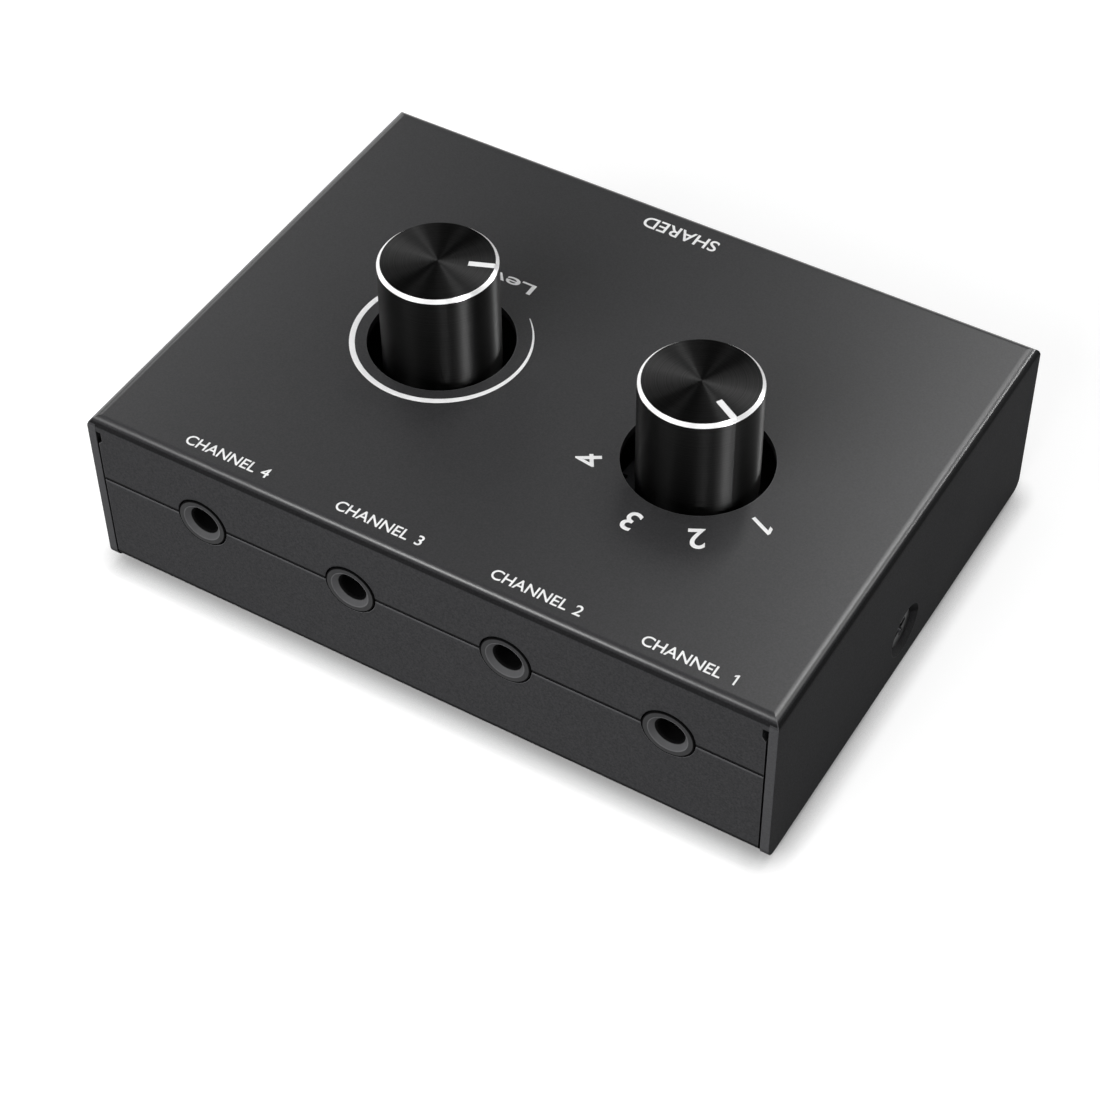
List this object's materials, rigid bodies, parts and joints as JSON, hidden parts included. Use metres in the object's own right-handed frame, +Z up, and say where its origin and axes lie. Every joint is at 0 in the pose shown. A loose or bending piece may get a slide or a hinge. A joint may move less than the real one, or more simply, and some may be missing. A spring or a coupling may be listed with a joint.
{
  "type": "audio selector switch",
  "caption": "Flat desktop box with a volume knob, a stepped source knob, a row of small round sockets in front and another at the rear",
  "frame": {"origin": "on the table, midway between the outer faces of the object", "axes": "+Z up; the row of sockets faces -Y and the single socket +Y; +X to the right as seen from the front"},
  "size_m": [0.098, 0.0728, 0.04],
  "materials": {
    "coated_steel": "fine matte powder coat",
    "black_screw": "black oxide",
    "foot_rubber": "matte",
    "plated_steel": "zinc plated",
    "black_zinc": "black zinc plated",
    "board_laminate": "black solder mask",
    "socket_plastic": "moulded satin",
    "spring_bronze": "rolled strip",
    "knob_aluminium": "black anodised, turned top",
    "pointer_white": "white paint, filled lines and printed legends",
    "insert_plastic": "moulded",
    "shaft_metal": "turned",
    "control_plastic": "moulded",
    "track_laminate": "paper laminate",
    "tinned_brass": "tin plated"
  },
  "bodies": {
    "chassis": {"top_cover": "coated_steel", "bottom_tray": "coated_steel", "side_screws": "black_screw", "rubber_feet": "foot_rubber", "board_standoffs": "plated_steel", "volume_pot_frame": "black_zinc", "selector_frame": "black_zinc", "circuit_board": "board_laminate", "jack_4_housing": "socket_plastic", "jack_4_ring_spring": "spring_bronze", "jack_4_sleeve_spring": "spring_bronze", "jack_4_tip_spring": "spring_bronze", "jack_3_housing": "socket_plastic", "jack_3_ring_spring": "spring_bronze", "jack_3_sleeve_spring": "spring_bronze", "jack_3_tip_spring": "spring_bronze", "jack_2_housing": "socket_plastic", "jack_2_ring_spring": "spring_bronze", "jack_2_sleeve_spring": "spring_bronze", "jack_2_tip_spring": "spring_bronze", "jack_1_housing": "socket_plastic", "jack_1_ring_spring": "spring_bronze", "jack_1_sleeve_spring": "spring_bronze", "jack_1_tip_spring": "spring_bronze", "common_jack_housing": "socket_plastic", "common_jack_ring_spring": "spring_bronze", "common_jack_sleeve_spring": "spring_bronze", "common_jack_tip_spring": "spring_bronze", "volume_pot_base": "control_plastic", "volume_pot_spacer": "control_plastic", "selector_base": "control_plastic", "selector_housing": "control_plastic", "volume_lower_track": "track_laminate", "volume_upper_track": "track_laminate", "volume_pot_pins": "tinned_brass", "selector_contacts": "tinned_brass"},
    "volume_control": {"volume_knob_cap": "knob_aluminium", "volume_knob_insert": "insert_plastic", "volume_pointer": "pointer_white", "volume_shaft": "shaft_metal", "volume_lower_wiper": "control_plastic", "volume_upper_wiper": "control_plastic"},
    "selector_control": {"selector_knob_cap": "knob_aluminium", "selector_knob_insert": "insert_plastic", "selector_pointer": "pointer_white", "selector_shaft": "shaft_metal", "selector_rotor": "control_plastic", "selector_bridges": "tinned_brass", "selector_detent_plunger": "control_plastic", "selector_detent_spring": "spring_bronze"}
  },
  "joints": [
    {"name": "volume_turn", "type": "hinge", "parent": "chassis", "child": "volume_control", "pos_m": [-0.0182, -0.0014, 0.0204], "axis": [0, 0, 1], "range_deg": [-252, 28]},
    {"name": "selector_turn", "type": "hinge", "parent": "chassis", "child": "selector_control", "pos_m": [0.0208, -0.0038, 0.0204], "axis": [0, 0, 1], "range_deg": [-120, 0]}
  ]
}
